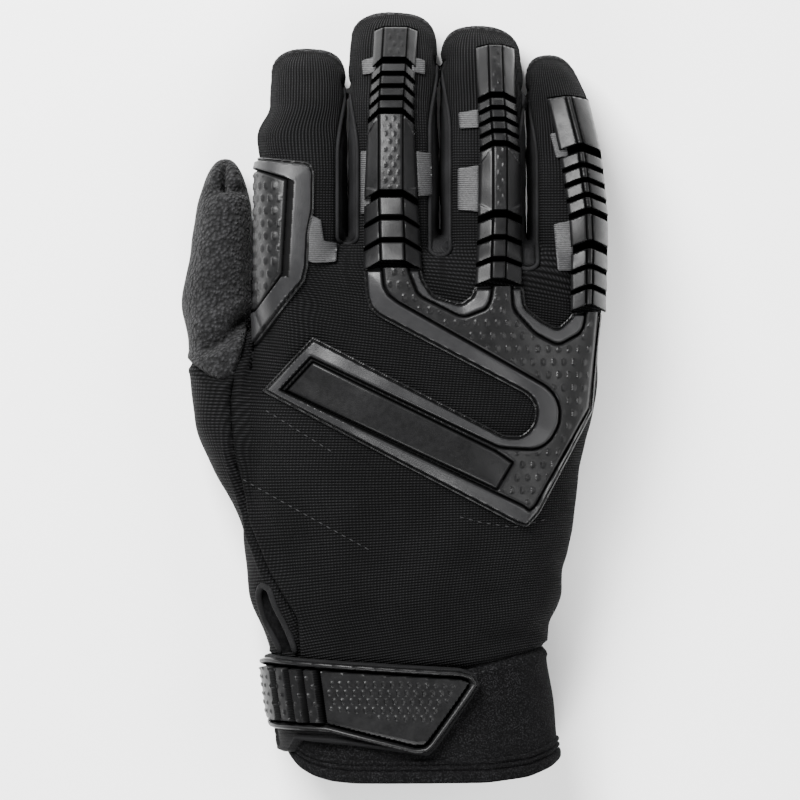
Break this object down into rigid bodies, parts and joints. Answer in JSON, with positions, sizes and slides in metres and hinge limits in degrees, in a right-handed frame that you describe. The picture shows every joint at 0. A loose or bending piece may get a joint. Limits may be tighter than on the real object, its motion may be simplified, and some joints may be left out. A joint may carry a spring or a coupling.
{
  "type": "tactical glove",
  "caption": "Right-hand work and safety glove with ribbed knit back, suede palm, moulded rubber knuckle and finger guards, and a hook-and-loop cuff tab.",
  "frame": {"origin": "middle of the glove's box in X and Y, on the surface that it rests on", "axes": "+Y from the cuff towards the fingertips, +Z out of the back of the hand, -X towards the thumb"},
  "size_m": [0.128, 0.2294, 0.0529],
  "materials": {
    "knit": "matte ribbed knit",
    "suede": "matte pebbled suede",
    "lycra": "smooth matte stretch cloth",
    "fuzzy": "brushed loop pile",
    "neoprene": "matte speckled neoprene",
    "strap": "matte woven strap with a piped edge",
    "rubber": "satin moulded rubber"
  },
  "bodies": {
    "root": {"back_panel": "knit", "palm_panel": "suede", "thumb_panel": "suede", "thumb_side_panel": "knit", "fourchette_index_middle": "lycra", "fourchette_middle_ring": "lycra", "fourchette_ring_little": "lycra", "slit_gusset": "fuzzy", "slit_binding": "lycra", "cuff": "neoprene", "cuff_hem": "neoprene", "wrist_strap": "strap", "wrist_tab": "rubber", "knuckle_guard": "rubber", "index_side_guard": "rubber", "finger_guard_middle": "rubber", "finger_guard_ring": "rubber", "finger_guard_little": "rubber"}
  },
  "joints": []
}
